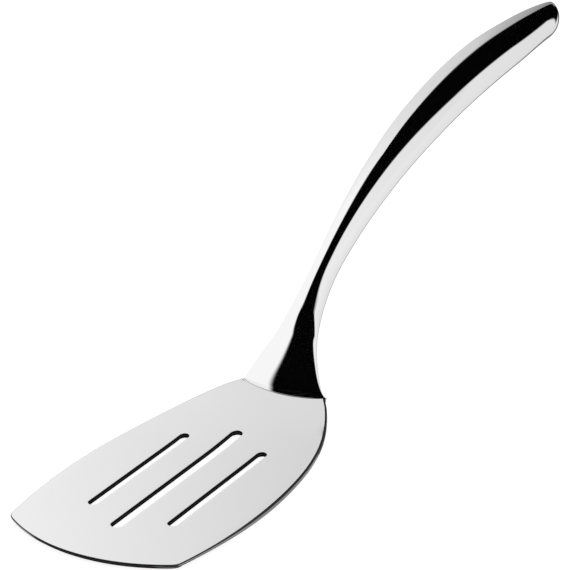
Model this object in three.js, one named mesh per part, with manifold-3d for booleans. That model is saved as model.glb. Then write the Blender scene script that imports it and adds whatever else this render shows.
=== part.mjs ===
// Slotted serving turner in polished stainless steel: one slotted sheet blade whose heel bends up into
// a hollow handle, pressed as an upper and a lower shell and welded along both sides and at the foot.
// Millimetres, +Z up. The blade lies flat with its front edge towards -Y and the handle towards +Y.

import * as THREE from 'three';
import { mergeVertices } from 'three/addons/utils/BufferGeometryUtils.js';
import Module from 'manifold-3d';

// Blade outline. Stations are measured along the middle of the sheet, from the front edge.
const BLADE_WIDTH = 82;
const SHEET_THICKNESS = 1.8;
const FRONT_RADIUS = 72;
const SIDE_RADIUS = 178;
const WIDEST_STATION = 50.4;
const CORNER_RADIUS = 2.5;
const SHOULDER_STATION = 94;
const SHOULDER_RADIUS = 80;
const EDGE_ROUND = 0.6;

// Slots, with their lengths from tip to tip.
const SLOT_PITCH = 16.8;
const MIDDLE_SLOT_START = 20.4;
const MIDDLE_SLOT_LENGTH = 76.5;
const MIDDLE_SLOT_WIDTH = 4.6;
const SIDE_SLOT_START = 29.6;
const SIDE_SLOT_LENGTH = 57.9;
const SIDE_SLOT_WIDTH = 3.8;

// Spine: flat as far as the heel, which starts just behind the middle slot, up through the heel bend to the
// neck, then over the arch to the tip.
const HEEL_MARGIN = 1.5;
const NECK_RUN = 31;
const NECK_RISE = 13.2;
const NECK_ANGLE = 49.2;
const HEEL_PULL = 14;
const NECK_PULL = 14;
const TIP_RUN = 221.7;
const TIP_RISE = 72.5;
const TIP_ANGLE = -2.6;
const ARCH_PULL = 107;
const TIP_PULL = 9.4;

// Handle sections: distance along the spine past the neck, full width and full thickness.
const LIP = { past: -15, width: 19, thickness: 0.3 };
const FOOT = { past: -8, width: 31, thickness: 4.4 };
const NECK = { past: 0, width: 26.2, thickness: 8.6 };
const FLARE = { past: 14, width: 16.3, thickness: 8.4 };
const THROAT = { past: 29, width: 11.5, thickness: 8.3 };
const WAIST = { past: 44, width: 10.4, thickness: 8.2 };
const PALM = { past: 88, width: 16.4, thickness: 8.8 };
const SWELL = { past: 130, width: 22.3, thickness: 10 };
const GRIP = { past: 186, width: 26, thickness: 12.2 };
const END = { past: 220, width: 21.4, thickness: 12.5 };
const TIP = { width: 17.4, thickness: 13.4 };
const TIP_FULLNESS = 2.2;
const TIP_LIFT = 0.95;

// Walls, welds and the clearances between neighbouring pieces.
const SHELL_WALL = 0.7;
const SEAM_BEAD = 0.5;
const FOOT_BEAD = 0.6;
const WELD_CLEARANCE = 0.3;
const TANG_LENGTH = 26;
const TANG_CLEARANCE = 0.5;

// Half size that is left of a section where an inward offset would close it.
const LEAST_HALF_SIZE = 0.075;

// Facets.
const CURVE_STEPS = 8;
const EDGE_STEPS = 2;
const SECTION_SIDES = 20;
const STATION_STEP = 8;
const FOOT_STEP = 2;
const TIP_STEPS = 7;

const wasm = await Module();
wasm.setup();

/** A closed geometry as a solid for joins and cuts. */
function toSolid(geometry) {
  const bare = geometry.clone();
  bare.deleteAttribute('normal');
  bare.deleteAttribute('uv');
  const merged = mergeVertices(bare, 1e-5);
  return new wasm.Manifold(new wasm.Mesh({
    numProp: 3,
    vertProperties: new Float32Array(merged.attributes.position.array),
    triVerts: new Uint32Array(merged.index.array),
  }));
}

/** A solid back as a geometry. */
function toGeometry(solid) {
  const mesh = solid.getMesh();
  const geometry = new THREE.BufferGeometry();
  geometry.setAttribute('position', new THREE.BufferAttribute(new Float32Array(mesh.vertProperties), 3));
  geometry.setIndex(new THREE.BufferAttribute(new Uint32Array(mesh.triVerts), 1));
  geometry.computeVertexNormals();
  return geometry;
}

/** A closed skin over rings of equal point count, closed at both ends by a point. */
function loft(rings, startPoint, endPoint) {
  const sides = rings[0].length;
  const points = [...rings.flat(), startPoint, endPoint];
  const first = points.length - 2;
  const last = points.length - 1;
  const triangles = [];
  for (let i = 0; i < sides; i += 1) {
    const next = (i + 1) % sides;
    triangles.push(first, next, i);
    for (let ring = 0; ring + 1 < rings.length; ring += 1) {
      const near = ring * sides;
      const far = near + sides;
      triangles.push(near + i, near + next, far + next, near + i, far + next, far + i);
    }
    const top = (rings.length - 1) * sides;
    triangles.push(last, top + i, top + next);
  }
  const geometry = new THREE.BufferGeometry().setFromPoints(points);
  geometry.setIndex(triangles);
  return geometry;
}

// Spine of the sheet and the handle, in the plane X = 0.
const heelStation = MIDDLE_SLOT_START + MIDDLE_SLOT_LENGTH + HEEL_MARGIN;
const totalRun = heelStation + NECK_RUN + TIP_RUN;
const frontY = -totalRun / 2;
const middleZ = SHEET_THICKNESS / 2;

/** A point of the plane X = 0 at a distance and a slope in degrees from another. */
function stepFrom(point, distance, degrees) {
  const slope = THREE.MathUtils.degToRad(degrees);
  return new THREE.Vector3(0, point.y + distance * Math.cos(slope), point.z + distance * Math.sin(slope));
}

const frontPoint = new THREE.Vector3(0, frontY, middleZ);
const heelPoint = new THREE.Vector3(0, frontY + heelStation, middleZ);
const neckPoint = new THREE.Vector3(0, heelPoint.y + NECK_RUN, middleZ + NECK_RISE);
const tipPoint = new THREE.Vector3(0, neckPoint.y + TIP_RUN, neckPoint.z + TIP_RISE);
const spine = new THREE.CurvePath();
spine.add(new THREE.LineCurve3(frontPoint, heelPoint));
spine.add(new THREE.CubicBezierCurve3(
  heelPoint,
  stepFrom(heelPoint, HEEL_PULL, 0),
  stepFrom(neckPoint, -NECK_PULL, NECK_ANGLE),
  neckPoint,
));
spine.add(new THREE.CubicBezierCurve3(
  neckPoint,
  stepFrom(neckPoint, ARCH_PULL, NECK_ANGLE),
  stepFrom(tipPoint, -TIP_PULL, TIP_ANGLE),
  tipPoint,
));
const spineLength = spine.getLength();
const neckStation = spine.getCurveLengths()[1];

/** The point at a station, sideways and above the spine, which runs on straight past its ends. */
function onSpine(station, sideways, height) {
  const share = THREE.MathUtils.clamp(station / spineLength, 0, 1);
  const along = spine.getTangent(share);
  const point = spine.getPoint(share).addScaledVector(along, station - share * spineLength);
  return new THREE.Vector3(sideways, point.y - along.z * height, point.z + along.y * height);
}

/** Evenly spread values from one number to another, ends included. */
function spread(from, to, step) {
  const count = Math.max(1, Math.ceil((to - from) / step));
  return Array.from({ length: count + 1 }, (_, i) => from + ((to - from) * i) / count);
}

/** Stations between two places, close together below the neck and further apart along the handle. */
function handleStations(from, to) {
  const change = THREE.MathUtils.clamp(neckStation, from, to);
  const below = from < change ? spread(from, change, FOOT_STEP) : [from];
  const above = change < to ? spread(change, to, STATION_STEP).slice(1) : [];
  return [...below, ...above];
}

// Handle sections between the named ones.
const lipStation = neckStation + LIP.past;
const endStation = neckStation + END.past;
const namedSections = [LIP, FOOT, NECK, FLARE, THROAT, WAIST, PALM, SWELL, GRIP, END];
const sectionStations = [...namedSections.map((section) => neckStation + section.past), spineLength];
const sectionSizes = [...namedSections, TIP]
  .flatMap((section) => [section.width / 2, section.thickness / 2]);
const sections = new THREE.CubicInterpolant(sectionStations, sectionSizes, 2);

/** The handle's section at a station, grown by an offset, on a handle that ends at the station end. */
function sectionAt(station, offset, end) {
  const [halfWidth, halfThickness] = sections.evaluate(station);
  const past = THREE.MathUtils.clamp((station - endStation) / (end - endStation), 0, 1);
  const cap = (1 - past ** TIP_FULLNESS) ** (1 / TIP_FULLNESS);
  return {
    halfWidth: Math.max(halfWidth + offset, LEAST_HALF_SIZE) * cap,
    halfThickness: Math.max(halfThickness + offset, LEAST_HALF_SIZE) * cap,
    lift: (halfThickness + offset) * (1 - cap) * TIP_LIFT,
  };
}

/** The solid inside the handle's skin, grown by an offset. */
function handleSolid(offset) {
  const end = spineLength + offset;
  const tipStations = spread(0, 1, 1 / TIP_STEPS).slice(1)
    .map((share) => endStation + (end - endStation) * Math.sin((share * Math.PI) / 2));
  const stations = [...handleStations(lipStation, endStation), ...tipStations];
  const rings = stations.map((station) => {
    const { halfWidth, halfThickness, lift } = sectionAt(station, offset, end);
    return Array.from({ length: SECTION_SIDES }, (_, i) => {
      const turn = (2 * Math.PI * i) / SECTION_SIDES;
      return onSpine(station, -halfWidth * Math.cos(turn), lift + halfThickness * Math.sin(turn));
    });
  });
  const endPoint = rings.pop()[0];
  return toSolid(loft(rings, onSpine(lipStation, 0, 0), endPoint));
}

/** A layer between two heights above the spine and two stations, across the whole width. */
function layer(from, to, low, high) {
  const stations = handleStations(from, to);
  const below = stations.map((station) => onSpine(station, 0, low));
  const above = stations.map((station) => onSpine(station, 0, high)).reverse();
  const profile = new THREE.Shape([...below, ...above].map((point) => new THREE.Vector2(point.y, point.z)));
  const span = 2 * BLADE_WIDTH;
  const geometry = new THREE.ExtrudeGeometry(profile, { depth: span, bevelEnabled: false });
  geometry.translate(0, 0, -span / 2);
  const turn = new THREE.Matrix4().makeBasis(
    new THREE.Vector3(0, 1, 0),
    new THREE.Vector3(0, 0, 1),
    new THREE.Vector3(1, 0, 0),
  );
  return toSolid(geometry.applyMatrix4(turn));
}

// Blade outline as circles: front edge, side, and the shoulder that runs in to the neck.
const frontCentre = new THREE.Vector2(0, FRONT_RADIUS);
const sideCentre = new THREE.Vector2(BLADE_WIDTH / 2 - SIDE_RADIUS, WIDEST_STATION);
const shoulderSlope = Math.asin((SHOULDER_STATION - WIDEST_STATION) / SIDE_RADIUS);
const shoulderCentre = new THREE.Vector2(
  sideCentre.x + (SIDE_RADIUS - SHOULDER_RADIUS) * Math.cos(shoulderSlope),
  sideCentre.y + (SIDE_RADIUS - SHOULDER_RADIUS) * Math.sin(shoulderSlope),
);

// Heights above the spine that the sheet, the shells and the welds share.
const seamHeight = SEAM_BEAD / 2 + WELD_CLEARANCE;
const footHeight = SHEET_THICKNESS / 2 + WELD_CLEARANCE;

/** Half width of the blade's outline at a station behind its front corners. */
function outlineHalfWidth(station) {
  const [centre, radius] = station < SHOULDER_STATION
    ? [sideCentre, SIDE_RADIUS]
    : [shoulderCentre, SHOULDER_RADIUS];
  return centre.x + Math.sqrt(Math.max(radius ** 2 - (station - centre.y) ** 2, 0));
}

/** Half width that the tang may have inside the handle's shells. */
function tangHalfWidth(station) {
  const inner = sectionAt(station, -SHELL_WALL, spineLength);
  const share = Math.min(footHeight / inner.halfThickness, 1);
  return Math.max(inner.halfWidth * Math.sqrt(1 - share ** 2) - TANG_CLEARANCE, SHEET_THICKNESS);
}

/** Half width of the handle on the inner side of the foot welds. */
function footHalfWidth(station) {
  return sectionAt(station, WELD_CLEARANCE, spineLength).halfWidth;
}

/** The station where the blade's shoulders have run in to a half width that is given along the spine. */
function shouldersMeet(halfWidthAt) {
  let low = SHOULDER_STATION;
  let high = shoulderCentre.y + SHOULDER_RADIUS;
  for (let i = 0; i < 40; i += 1) {
    const middle = (low + high) / 2;
    if (outlineHalfWidth(middle) > halfWidthAt(middle)) low = middle;
    else high = middle;
  }
  return high;
}
const tangRoot = shouldersMeet(tangHalfWidth);
const footWeldEnd = shouldersMeet(footHalfWidth);

/** Where two circles meet, on the side of larger X and smaller Y. */
function circlesMeet(centreA, radiusA, centreB, radiusB) {
  const across = centreB.clone().sub(centreA);
  const distance = across.length();
  const along = (distance ** 2 + radiusA ** 2 - radiusB ** 2) / (2 * distance);
  const off = Math.sqrt(radiusA ** 2 - along ** 2);
  across.divideScalar(distance);
  const foot = centreA.clone().addScaledVector(across, along);
  const right = foot.clone().add(new THREE.Vector2(-across.y, across.x).multiplyScalar(off));
  const left = foot.clone().add(new THREE.Vector2(across.y, -across.x).multiplyScalar(off));
  return right.x > left.x ? right : left;
}

/** The blade's flat outline from the front edge to the heel, in X and station. */
function flatOutline() {
  const corner = circlesMeet(
    frontCentre,
    FRONT_RADIUS - CORNER_RADIUS,
    sideCentre,
    SIDE_RADIUS - CORNER_RADIUS,
  );
  const frontTurn = corner.clone().sub(frontCentre).angle();
  const sideTurn = corner.clone().sub(sideCentre).angle();
  const sideStart = sideCentre.y + SIDE_RADIUS * Math.sin(sideTurn);
  const side = spread(sideStart, heelStation, STATION_STEP).slice(1)
    .map((station) => new THREE.Vector2(outlineHalfWidth(station), station));
  const shape = new THREE.Shape();
  shape.absarc(frontCentre.x, frontCentre.y, FRONT_RADIUS, 3 * Math.PI - frontTurn, frontTurn, false);
  shape.absarc(corner.x, corner.y, CORNER_RADIUS, frontTurn, sideTurn, false);
  for (const point of side) shape.lineTo(point.x, point.y);
  for (const point of side.reverse()) shape.lineTo(-point.x, point.y);
  shape.absarc(-corner.x, corner.y, CORNER_RADIUS, 3 * Math.PI - sideTurn, 3 * Math.PI - frontTurn, false);
  return shape;
}

/** A slot with round ends, as a hole in the blade's outline. */
function slotHole(x, start, length, width) {
  const radius = width / 2;
  const hole = new THREE.Path();
  hole.absarc(x, start + radius, radius, 0, Math.PI, true);
  hole.absarc(x, start + length - radius, radius, Math.PI, 0, true);
  hole.closePath();
  return hole;
}

/** The flat part of the blade, slotted and with its edges rounded. */
function flatSheet() {
  const shape = flatOutline();
  shape.holes.push(slotHole(0, MIDDLE_SLOT_START, MIDDLE_SLOT_LENGTH, MIDDLE_SLOT_WIDTH));
  for (const side of [-1, 1]) {
    shape.holes.push(slotHole(side * SLOT_PITCH, SIDE_SLOT_START, SIDE_SLOT_LENGTH, SIDE_SLOT_WIDTH));
  }
  const geometry = new THREE.ExtrudeGeometry(shape, {
    depth: SHEET_THICKNESS - 2 * EDGE_ROUND,
    bevelThickness: EDGE_ROUND,
    bevelSize: EDGE_ROUND,
    bevelOffset: -EDGE_ROUND,
    bevelSegments: EDGE_STEPS,
    curveSegments: CURVE_STEPS,
  });
  geometry.translate(0, frontY, EDGE_ROUND);
  return toSolid(geometry);
}

/** The bent heel of the blade, with the tang that reaches up inside the neck. */
function bentHeel() {
  const start = heelStation - EDGE_ROUND;
  const tangEnd = tangRoot + TANG_LENGTH;
  const stations = [
    ...spread(start, tangRoot, FOOT_STEP),
    ...spread(tangRoot, tangEnd, FOOT_STEP).slice(1),
  ];
  const rings = stations.map((station) => {
    const halfWidth = station < tangRoot ? outlineHalfWidth(station) : tangHalfWidth(station);
    const ring = [];
    for (const [side, upper] of [[1, 1], [-1, 1], [-1, -1], [1, -1]]) {
      for (let i = 0; i <= EDGE_STEPS; i += 1) {
        const share = side * upper > 0 ? i / EDGE_STEPS : 1 - i / EDGE_STEPS;
        const turn = (share * Math.PI) / 2;
        const inset = EDGE_ROUND * (1 - Math.cos(turn));
        const drop = EDGE_ROUND * (1 - Math.sin(turn));
        ring.push(onSpine(station, side * (halfWidth - inset), upper * (SHEET_THICKNESS / 2 - drop)));
      }
    }
    return ring.reverse();
  });
  return toSolid(loft(rings, onSpine(start, 0, 0), onSpine(tangEnd, 0, 0)));
}

// How far the cuts reach beyond the handle's skin, and where the shells close behind the blade's shoulders.
const reach = GRIP.thickness;
const footEnd = tangRoot + WELD_CLEARANCE;

/** One half of the hollow handle: the upper shell on side 1, the lower shell on side -1. */
function handleShell(side) {
  const other = (height) => [-side * reach, side * height].sort((a, b) => a - b);
  return handleSolid(0)
    .subtract(handleSolid(-SHELL_WALL))
    .subtract(layer(lipStation - reach, spineLength + reach, ...other(seamHeight)))
    .subtract(layer(lipStation - reach, footEnd, ...other(footHeight)));
}

/** The bead that closes the seam between the shells along one side of the handle. */
function seamWeld(side) {
  const half = new THREE.BoxGeometry(BLADE_WIDTH, 2 * totalRun, 2 * totalRun);
  half.translate(side * (BLADE_WIDTH / 2 + WELD_CLEARANCE), 0, 0);
  return handleSolid(0)
    .subtract(handleSolid(-SHELL_WALL))
    .intersect(layer(footEnd + WELD_CLEARANCE, spineLength, -SEAM_BEAD / 2, SEAM_BEAD / 2))
    .intersect(toSolid(half));
}

/** The bead where a shell's foot meets the blade: on top for side 1, underneath for side -1. */
function footWeld(side) {
  const heights = [side * footHeight, side * (footHeight + FOOT_BEAD)].sort((a, b) => a - b);
  return handleSolid(WELD_CLEARANCE + FOOT_BEAD)
    .subtract(handleSolid(WELD_CLEARANCE))
    .intersect(layer(lipStation - reach, footWeldEnd, ...heights));
}

// Finishes.
const polishedSteel = { color: 0xd6d8da, metalness: 1, roughness: 0.06 };
const polishedSheet = { color: 0xdadcdd, metalness: 1, roughness: 0.1 };
const groundWeld = { color: 0xc9cbcd, metalness: 1, roughness: 0.16 };

const turner = new THREE.Group();
turner.name = 'slotted_turner';

/** Adds one named piece with its own finish. */
function addPiece(name, solid, finish) {
  const mesh = new THREE.Mesh(toGeometry(solid), new THREE.MeshStandardMaterial(finish));
  mesh.name = name;
  turner.add(mesh);
}

addPiece('blade', flatSheet().add(bentHeel()), polishedSheet);
addPiece('handle_upper_shell', handleShell(1), polishedSteel);
addPiece('handle_lower_shell', handleShell(-1), polishedSteel);
addPiece('seam_weld_left', seamWeld(-1), groundWeld);
addPiece('seam_weld_right', seamWeld(1), groundWeld);
addPiece('foot_weld_top', footWeld(1), groundWeld);
addPiece('foot_weld_bottom', footWeld(-1), groundWeld);

// Origin at the middle of the whole length and width, on the surface that the blade lies on.
const middle = new THREE.Box3().setFromObject(turner).getCenter(new THREE.Vector3());
for (const piece of turner.children) piece.geometry.translate(-middle.x, -middle.y, 0);

export default turner;
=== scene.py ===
"""Looks of a slotted serving turner in polished steel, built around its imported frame.

The turner lies along Y, with its front edge at the low end and its handle's tip at the high end. Sizes are in
millimetres, and a station is a distance from the front edge along Y. Meshes are made in metres.
"""

import logging
import math
from collections.abc import Sequence
from dataclasses import dataclass, fields
from enum import Enum

import bmesh
import bpy
import numpy as np
from mathutils import Matrix, Vector
from mathutils.geometry import delaunay_2d_cdt


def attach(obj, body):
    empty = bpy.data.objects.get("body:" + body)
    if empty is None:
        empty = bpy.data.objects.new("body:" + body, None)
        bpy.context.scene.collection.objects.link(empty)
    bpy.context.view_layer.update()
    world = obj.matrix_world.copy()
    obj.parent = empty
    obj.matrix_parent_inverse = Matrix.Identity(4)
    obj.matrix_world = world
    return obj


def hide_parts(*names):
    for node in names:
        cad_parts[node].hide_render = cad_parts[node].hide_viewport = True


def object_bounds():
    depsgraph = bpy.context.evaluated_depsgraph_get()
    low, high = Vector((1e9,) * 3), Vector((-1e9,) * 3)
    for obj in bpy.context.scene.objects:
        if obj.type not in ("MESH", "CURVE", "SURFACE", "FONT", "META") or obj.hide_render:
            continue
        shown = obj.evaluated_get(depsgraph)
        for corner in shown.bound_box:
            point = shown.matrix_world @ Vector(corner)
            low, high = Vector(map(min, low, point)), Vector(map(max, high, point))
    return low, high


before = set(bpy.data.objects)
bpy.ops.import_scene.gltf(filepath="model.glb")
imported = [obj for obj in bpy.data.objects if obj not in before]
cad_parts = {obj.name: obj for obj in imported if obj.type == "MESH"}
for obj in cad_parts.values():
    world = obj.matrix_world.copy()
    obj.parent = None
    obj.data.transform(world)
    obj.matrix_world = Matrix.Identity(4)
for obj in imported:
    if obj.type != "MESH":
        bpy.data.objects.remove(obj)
CAD_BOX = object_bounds()
FRONT = CAD_BOX[0][1] * 1000.0
MM = 0.001
WHITE = (1.0, 1.0, 1.0, 1.0)

logging.basicConfig(level=logging.INFO, format="%(name)s: %(message)s")
log = logging.getLogger("turner")


class Finish(Enum):
    """The record's material slots, one for each finish of the pieces."""

    SHEET = "polished_sheet"
    HANDLE = "polished_handle"
    WELD = "ground_weld"


def smooth_step(value: np.ndarray, low: float, high: float) -> np.ndarray:
    """Eases from 0 at low to 1 at high.

    Args:
        value: the numbers to ease.
        low: where the easing starts.
        high: where it ends.

    Returns:
        The eased numbers.
    """
    part = np.clip((value - low) / (high - low), 0.0, 1.0)
    return part * part * (3.0 - 2.0 * part)


def eased(
    part: np.ndarray, low: np.ndarray, leave: np.ndarray, high: np.ndarray, reach: np.ndarray
) -> np.ndarray:
    """Runs a cubic from one value to another, with given slopes at both ends.

    Args:
        part: how far along the run, from 0 to 1.
        low: the value at the start.
        leave: the slope there.
        high: the value at the end.
        reach: the slope there.

    Returns:
        The values along the run.
    """
    square, cube = part * part, part * part * part
    return (
        (2 * cube - 3 * square + 1) * low
        + (cube - 2 * square + part) * leave
        + (3 * square - 2 * cube) * high
        + (cube - square) * reach
    )


def through_knots(value: np.ndarray, knots: np.ndarray, heights: np.ndarray) -> np.ndarray:
    """Runs a smooth curve through knots, with slopes taken from each knot's neighbours.

    Args:
        value: where the curve is read.
        knots: the knots' places, rising.
        heights: the curve's values at the knots, one row for each knot.

    Returns:
        The curve's values, one row for each place.
    """
    knots = np.asarray(knots, float)
    heights = np.asarray(heights, float).reshape(len(knots), -1)
    slopes = np.empty_like(heights)
    slopes[1:-1] = (heights[2:] - heights[:-2]) / (knots[2:] - knots[:-2])[:, None]
    slopes[0] = (heights[1] - heights[0]) / (knots[1] - knots[0])
    slopes[-1] = (heights[-1] - heights[-2]) / (knots[-1] - knots[-2])
    low = np.clip(np.searchsorted(knots, value) - 1, 0, len(knots) - 2)
    span = (knots[low + 1] - knots[low])[:, None]
    part = (np.asarray(value)[:, None] - knots[low][:, None]) / span
    return eased(part, heights[low], span * slopes[low], heights[low + 1], span * slopes[low + 1])


def bezier(points: Sequence[np.ndarray | tuple[float, float]], steps: int) -> np.ndarray:
    """Samples a cubic Bezier curve.

    Args:
        points: its four control points.
        steps: how many points to sample.

    Returns:
        The sampled points, one row each.
    """
    a, b, c, d = (np.array(p, float) for p in points)
    t = np.linspace(0.0, 1.0, steps)[:, None]
    u = 1.0 - t
    return u**3 * a + 3 * u**2 * t * b + 3 * u * t**2 * c + t**3 * d


def inside(points: np.ndarray, loop: np.ndarray) -> np.ndarray:
    """Tells which points lie inside a closed loop, by counting crossings.

    Args:
        points: the points to test.
        loop: the loop's corners in order.

    Returns:
        One truth value for each point.
    """
    within = np.zeros(len(points), bool)
    for (ax, ay), (bx, by) in zip(loop, np.roll(loop, -1, axis=0)):
        if ay == by:
            continue
        crosses = (ay > points[:, 1]) != (by > points[:, 1])
        at = ax + (points[:, 1] - ay) / (by - ay) * (bx - ax)
        within ^= crosses & (points[:, 0] < at)
    return within


def linked(name: str, data: bpy.types.ID) -> bpy.types.Object:
    """Makes an object of a mesh, a lamp or a camera and links it to the scene."""
    made = bpy.data.objects.new(name, data)
    bpy.context.scene.collection.objects.link(made)
    return made


def polyline(name: str, points: np.ndarray) -> bpy.types.Object:
    """Makes an object of joined edges, for a geometry node tree to follow.

    Args:
        name: the object's name.
        points: the corners in millimetres.

    Returns:
        The new object, linked to the scene.
    """
    mesh = bpy.data.meshes.new(name)
    edges = [(i, i + 1) for i in range(len(points) - 1)]
    mesh.from_pydata([tuple(p * MM) for p in points], edges, [])
    return linked(name, mesh)


def place(piece: bpy.types.Object, slot: Finish, *nodes: str) -> None:
    """Hands a finished piece to the frame and reports it.

    Args:
        piece: the finished object.
        slot: the slot that its finish comes from; not used.
        nodes: the frame's nodes that it stands for.
    """
    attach(piece, "root")
    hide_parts(*nodes)
    log.info("%s: %d faces, stands for %s", piece.name, len(piece.data.polygons), ", ".join(nodes))


class Wiring:
    """A short hand for placing and joining nodes in one tree."""

    def __init__(self, tree: bpy.types.NodeTree) -> None:
        """Keeps the tree that the nodes go into."""
        self.tree = tree

    @classmethod
    def fresh(cls, holder: bpy.types.Material | bpy.types.World) -> "Wiring":
        """Empties the tree of a material or a world and starts its wiring."""
        holder.use_nodes = True
        holder.node_tree.nodes.clear()
        return cls(holder.node_tree)

    def add(self, kind: str, *joins: object, **settings: object) -> bpy.types.Node:
        """Places a node and feeds its inputs in order.

        Args:
            kind: the node's type.
            joins: a socket to join or a value to set for each input that is in use; None leaves one alone.
            settings: the node's own properties.

        Returns:
            The new node.
        """
        node = self.tree.nodes.new(kind)
        for key, value in settings.items():
            setattr(node, key, value)
        for socket, join in zip([s for s in node.inputs if s.enabled], joins):
            self.feed(socket, join)
        return node

    def feed(self, socket: bpy.types.NodeSocket, join: object) -> None:
        """Joins a socket to another, or sets its value.

        Args:
            socket: the input to feed.
            join: an output socket, a value, or None to leave the input alone.
        """
        if isinstance(join, bpy.types.NodeSocket):
            self.tree.links.new(join, socket)
        elif join is not None:
            socket.default_value = join

    def named(self, node: bpy.types.Node, joins: dict[str, object]) -> bpy.types.Node:
        """Feeds a node's inputs by name and returns the node."""
        for label, join in joins.items():
            self.feed(node.inputs[label], join)
        return node

    def out(self, kind: str, *joins: object, **settings: object) -> bpy.types.NodeSocket:
        """Places a node as add does and returns its first output that is in use."""
        return next(s for s in self.add(kind, *joins, **settings).outputs if s.enabled)

    def maths(self, operation: str, *joins: object) -> bpy.types.NodeSocket:
        """Places a Math node and returns its result."""
        return self.out("ShaderNodeMath", *joins, operation=operation)

    def vector(self, operation: str, *joins: object) -> bpy.types.NodeSocket:
        """Places a Vector Math node and returns its result."""
        return self.out("ShaderNodeVectorMath", *joins, operation=operation)

    def dot(self, vector: bpy.types.NodeSocket, axis: tuple[float, float, float]) -> bpy.types.NodeSocket:
        """Places a Vector Math node for a dot product and returns its result."""
        return self.add("ShaderNodeVectorMath", vector, axis, operation="DOT_PRODUCT").outputs["Value"]

    def scaled(self, vector: bpy.types.NodeSocket, size: bpy.types.NodeSocket) -> bpy.types.NodeSocket:
        """Places a Vector Math node that scales a vector or a colour, and returns its result."""
        node = self.add("ShaderNodeVectorMath", vector, operation="SCALE")
        return self.named(node, {"Scale": size}).outputs["Vector"]


class PathTree:
    """A geometry node tree that follows a path, with named inputs, and turns its result into a plain mesh."""

    def __init__(self, name: str, inputs: dict[str, str]) -> None:
        """Starts the tree.

        Args:
            name: the tree's name.
            inputs: the named inputs and their socket types.
        """
        self.tree = bpy.data.node_groups.new(name, "GeometryNodeTree")
        face = self.tree.interface
        face.new_socket(name="Path", in_out="INPUT", socket_type="NodeSocketGeometry")
        self.identifiers = {
            label: face.new_socket(name=label, in_out="INPUT", socket_type=kind).identifier
            for label, kind in inputs.items()
        }
        face.new_socket(name="Geometry", in_out="OUTPUT", socket_type="NodeSocketGeometry")
        self.wire = Wiring(self.tree)
        self.given = self.wire.add("NodeGroupInput").outputs

    def profile(self, radius: bpy.types.NodeSocket | float) -> bpy.types.NodeSocket:
        """Places a round profile with the given number of sides."""
        circle = self.wire.add("GeometryNodeCurvePrimitiveCircle", self.given["Sides"], mode="RADIUS")
        return self.wire.named(circle, {"Radius": radius}).outputs["Curve"]

    def sweep(
        self, path: bpy.types.NodeSocket, profile: bpy.types.NodeSocket, caps: bool
    ) -> bpy.types.NodeSocket:
        """Runs a profile along a path.

        Args:
            path: the curve to follow.
            profile: the curve that is swept.
            caps: whether both ends are closed.

        Returns:
            The swept mesh.
        """
        swept = self.wire.add("GeometryNodeCurveToMesh")
        self.wire.named(swept, {"Curve": path, "Profile Curve": profile, "Fill Caps": caps})
        return swept.outputs["Mesh"]

    def close(self, shape: bpy.types.NodeSocket) -> None:
        """Ends the tree: smooth faces, real geometry and the given material.

        Args:
            shape: the geometry to end with.
        """
        smooth = self.wire.out("GeometryNodeSetShadeSmooth", shape)
        real = self.wire.out("GeometryNodeRealizeInstances", smooth)
        dressed = self.wire.out("GeometryNodeSetMaterial", real, None, self.given["Material"])
        self.wire.add("NodeGroupOutput", dressed)

    def bake(self, piece: bpy.types.Object, values: dict[str, object]) -> None:
        """Runs the tree on an object and keeps the result as its mesh, with its faces outward.

        Args:
            piece: the object that holds the path.
            values: a value for each named input.
        """
        modifier = piece.modifiers.new("Path", "NODES")
        modifier.node_group = self.tree
        for label, value in values.items():
            modifier[self.identifiers[label]] = value
        graph = bpy.context.evaluated_depsgraph_get()
        mesh = bpy.data.meshes.new_from_object(piece.evaluated_get(graph), depsgraph=graph)
        piece.modifiers.clear()
        piece.data = mesh
        mesh.name = piece.name
        shape = bmesh.new()
        shape.from_mesh(mesh)
        if shape.calc_volume(signed=True) < 0.0:
            bmesh.ops.reverse_faces(shape, faces=shape.faces[:])
        shape.to_mesh(mesh)
        shape.free()


class BuffingMarks:
    """The faint marks that a buffing wheel leaves, shared by every steel finish."""

    stretch = (1.0, 0.06, 1.0)
    hair_detail = (2.0, 0.6)
    haze_detail = (3.0, 0.55)
    hair_share, haze_share = 0.45, 0.55
    span = (0.3, 0.7)
    shades = (0.985, 1.0)

    def __init__(self) -> None:
        """Builds the shader group: hairlines and a soft haze."""
        tree = bpy.data.node_groups.new("Buffing marks", "ShaderNodeTree")
        face = tree.interface
        for label, value in (("Hairlines", 900.0), ("Haze", 60.0), ("Least", 0.03), ("Most", 0.06)):
            face.new_socket(name=label, in_out="INPUT", socket_type="NodeSocketFloat").default_value = value
        face.new_socket(name="Tint", in_out="INPUT", socket_type="NodeSocketColor")
        for label, kind in (("Color", "Color"), ("Roughness", "Float"), ("Height", "Float")):
            face.new_socket(name=label, in_out="OUTPUT", socket_type="NodeSocket" + kind)
        wire = Wiring(tree)
        given = wire.add("NodeGroupInput").outputs
        where = wire.add("ShaderNodeTexCoord").outputs["Object"]
        along = wire.out("ShaderNodeMapping", where, None, None, self.stretch)
        hair = wire.out("ShaderNodeTexNoise", along, None, given["Hairlines"], *self.hair_detail)
        haze = wire.out("ShaderNodeTexNoise", where, None, given["Haze"], *self.haze_detail)
        soft = wire.maths("MULTIPLY", haze, self.haze_share)
        both = wire.maths("MULTIPLY_ADD", hair, self.hair_share, soft)
        rough = wire.out("ShaderNodeMapRange", both, *self.span, given["Least"], given["Most"])
        shade = wire.out("ShaderNodeMapRange", haze, *self.span, *self.shades)
        colour = wire.scaled(given["Tint"], shade)
        wire.named(wire.add("NodeGroupOutput"), {"Color": colour, "Roughness": rough, "Height": hair})
        self.tree = tree


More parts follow.
